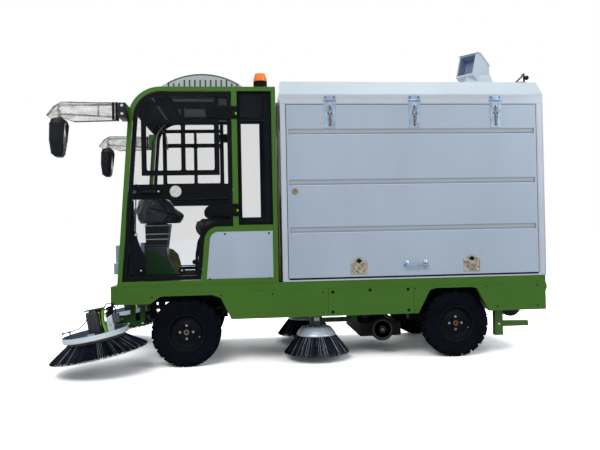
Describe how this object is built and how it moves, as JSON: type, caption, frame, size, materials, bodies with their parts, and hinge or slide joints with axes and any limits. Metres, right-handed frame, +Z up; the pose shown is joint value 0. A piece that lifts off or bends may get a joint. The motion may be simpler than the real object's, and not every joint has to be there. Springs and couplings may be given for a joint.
{
  "type": "street sweeper",
  "caption": "Small electric vacuum street sweeper with a glazed cab, a hatch-sided box body, side brushes and a suction head under the floor.",
  "frame": {"origin": "on the ground under the middle of the whole part's box", "axes": "+X to the vehicle's rear, +Y to its right side, +Z up"},
  "size_m": [4.4379, 2.41, 2.873],
  "materials": {
    "tyre": "matt",
    "black_paint": "satin",
    "cast_black": "matt",
    "steel": "brushed",
    "green_paint": "gloss",
    "dark_green": "satin",
    "silver_paint": "satin",
    "white_paint": "satin",
    "glass": "tinted",
    "dark_plastic": "matt",
    "white_plastic": "matt",
    "amber_plastic": "gloss",
    "lamp": "gloss",
    "seat_fabric": "woven",
    "bristle": "matt",
    "rubber": "matt"
  },
  "bodies": {
    "body": {"front_axle": "cast_black", "rear_axle": "cast_black", "leaf_springs": "cast_black", "chassis_rails": "dark_green", "cross_members": "dark_green", "side_sills": "green_paint", "skirts": "green_paint", "cab_frame": "green_paint", "cab_roof": "green_paint", "front_panel": "green_paint", "corner_plates": "silver_paint", "cab_rear_wall": "silver_paint", "cab_glass": "glass", "steering": "dark_plastic", "driver_seat": "seat_fabric", "mirrors": "dark_plastic", "roof_unit": "white_plastic", "beacon": "amber_plastic", "lamps": "lamp", "box_side_frames": "silver_paint", "box_end_frames": "silver_paint", "box_roof": "white_paint", "exhaust_hood": "white_paint", "battery_pack": "dark_plastic", "debris_hopper": "steel", "floor_plates": "green_paint", "suction_duct": "steel", "brush_carriers": "dark_green", "lift_brackets": "dark_green", "rear_tank": "black_paint"},
    "knuckle_left": {"knuckle_left": "cast_black"},
    "wheel_front_left": {"tyre_front_left": "tyre", "rim_front_left": "black_paint"},
    "wheel_rear_left": {"tyre_rear_left": "tyre", "rim_rear_left": "black_paint"},
    "door_left": {"door_left": "black_paint", "door_glass_left": "glass"},
    "hatch_left": {"hatch_left": "silver_paint"},
    "brush_arm_left": {"brush_arm_left": "silver_paint"},
    "front_brush_left": {"front_brush_left": "bristle"},
    "middle_arm_left": {"middle_arm_left": "dark_green"},
    "middle_brush_left": {"middle_brush_left": "bristle"},
    "support_wheel_left": {"support_wheel_left": "rubber"},
    "knuckle_right": {"knuckle_right": "cast_black"},
    "wheel_front_right": {"tyre_front_right": "tyre", "rim_front_right": "black_paint"},
    "wheel_rear_right": {"tyre_rear_right": "tyre", "rim_rear_right": "black_paint"},
    "door_right": {"door_right": "black_paint", "door_glass_right": "glass"},
    "hatch_right": {"hatch_right": "silver_paint"},
    "brush_arm_right": {"brush_arm_right": "silver_paint"},
    "front_brush_right": {"front_brush_right": "bristle"},
    "middle_arm_right": {"middle_arm_right": "dark_green"},
    "middle_brush_right": {"middle_brush_right": "bristle"},
    "support_wheel_right": {"support_wheel_right": "rubber"},
    "tie_rod": {"tie_rod": "steel"},
    "rear_door": {"rear_door": "silver_paint"},
    "suction_arms": {"suction_arms": "dark_green"},
    "suction_head": {"suction_head": "dark_green"}
  },
  "joints": [
    {"name": "steer_left", "type": "hinge", "parent": "body", "child": "knuckle_left", "pos_m": [-1.10096, -0.52, 0.305], "axis": [0, 0, 1], "range_deg": [-28, 28]},
    {"name": "steer_right", "type": "hinge", "parent": "body", "child": "knuckle_right", "pos_m": [-1.10096, 0.52, 0.305], "axis": [0, 0, 1], "range_deg": [-28, 28]},
    {"name": "tie_rod_pivot", "type": "hinge", "parent": "knuckle_left", "child": "tie_rod", "pos_m": [-0.97096, -0.52, 0.245], "axis": [0, 0, 1], "range_deg": [-28, 28]},
    {"name": "wheel_front_left_spin", "type": "hinge", "parent": "knuckle_left", "child": "wheel_front_left", "pos_m": [-1.10096, -0.625, 0.305], "axis": [0, 1, 0], "continuous": true},
    {"name": "wheel_rear_left_spin", "type": "hinge", "parent": "body", "child": "wheel_rear_left", "pos_m": [1.33104, -0.625, 0.305], "axis": [0, 1, 0], "continuous": true},
    {"name": "wheel_front_right_spin", "type": "hinge", "parent": "knuckle_right", "child": "wheel_front_right", "pos_m": [-1.10096, 0.625, 0.305], "axis": [0, 1, 0], "continuous": true},
    {"name": "wheel_rear_right_spin", "type": "hinge", "parent": "body", "child": "wheel_rear_right", "pos_m": [1.33104, 0.625, 0.305], "axis": [0, 1, 0], "continuous": true},
    {"name": "door_left_hinge", "type": "hinge", "parent": "body", "child": "door_left", "pos_m": [-0.64896, -0.764, 1.5], "axis": [0, 0, 1], "range_deg": [0, 80]},
    {"name": "door_right_hinge", "type": "hinge", "parent": "body", "child": "door_right", "pos_m": [-0.64896, 0.764, 1.5], "axis": [0, 0, -1], "range_deg": [0, 80]},
    {"name": "hatch_left_hinge", "type": "hinge", "parent": "body", "child": "hatch_left", "pos_m": [0.95104, -0.764, 2.33], "axis": [-1, 0, 0], "range_deg": [0, 88]},
    {"name": "hatch_right_hinge", "type": "hinge", "parent": "body", "child": "hatch_right", "pos_m": [0.95104, 0.764, 2.33], "axis": [1, 0, 0], "range_deg": [0, 88]},
    {"name": "rear_door_hinge", "type": "hinge", "parent": "body", "child": "rear_door", "pos_m": [2.18004, 0, 2.33], "axis": [0, -1, 0], "range_deg": [0, 88]},
    {"name": "brush_arm_left_lift", "type": "hinge", "parent": "body", "child": "brush_arm_left", "pos_m": [-1.66596, -0.6, 0.43], "axis": [0, -1, 0], "range_deg": [0, 9]},
    {"name": "front_brush_left_spin", "type": "hinge", "parent": "brush_arm_left", "child": "front_brush_left", "pos_m": [-1.85096, -0.8, 0.36], "axis": [-0.165, 0, 0.9863], "continuous": true},
    {"name": "middle_arm_left_lift", "type": "hinge", "parent": "body", "child": "middle_arm_left", "pos_m": [0.40904, -0.52, 0.352], "axis": [0, -1, 0], "range_deg": [0, 4.5]},
    {"name": "middle_brush_left_spin", "type": "hinge", "parent": "middle_arm_left", "child": "middle_brush_left", "pos_m": [0.06404, -0.52, 0.25], "axis": [0, 0, 1], "continuous": true},
    {"name": "brush_arm_right_lift", "type": "hinge", "parent": "body", "child": "brush_arm_right", "pos_m": [-1.66596, 0.6, 0.43], "axis": [0, -1, 0], "range_deg": [0, 9]},
    {"name": "front_brush_right_spin", "type": "hinge", "parent": "brush_arm_right", "child": "front_brush_right", "pos_m": [-1.85096, 0.8, 0.36], "axis": [-0.165, 0, 0.9863], "continuous": true},
    {"name": "middle_arm_right_lift", "type": "hinge", "parent": "body", "child": "middle_arm_right", "pos_m": [0.40904, 0.52, 0.352], "axis": [0, -1, 0], "range_deg": [0, 4.5]},
    {"name": "middle_brush_right_spin", "type": "hinge", "parent": "middle_arm_right", "child": "middle_brush_right", "pos_m": [0.06404, 0.52, 0.25], "axis": [0, 0, 1], "continuous": true},
    {"name": "suction_lift", "type": "hinge", "parent": "body", "child": "suction_arms", "pos_m": [-0.05096, 0, 0.425], "axis": [0, 1, 0], "range_deg": [0, 13.5]},
    {"name": "suction_head_pivot", "type": "hinge", "parent": "suction_arms", "child": "suction_head", "pos_m": [0.53904, 0, 0.33], "axis": [0, 1, 0], "range_deg": [-13.5, 0]},
    {"name": "support_wheel_left_spin", "type": "hinge", "parent": "suction_head", "child": "support_wheel_left", "pos_m": [0.67904, -0.525, 0.25], "axis": [0, 1, 0], "continuous": true},
    {"name": "support_wheel_right_spin", "type": "hinge", "parent": "suction_head", "child": "support_wheel_right", "pos_m": [0.67904, 0.525, 0.25], "axis": [0, 1, 0], "continuous": true}
  ],
  "couplings": [
    {"joint": "steer_right", "follows": "steer_left", "ratio": 1},
    {"joint": "tie_rod_pivot", "follows": "steer_left", "ratio": -1},
    {"joint": "suction_head_pivot", "follows": "suction_lift", "ratio": -1}
  ]
}
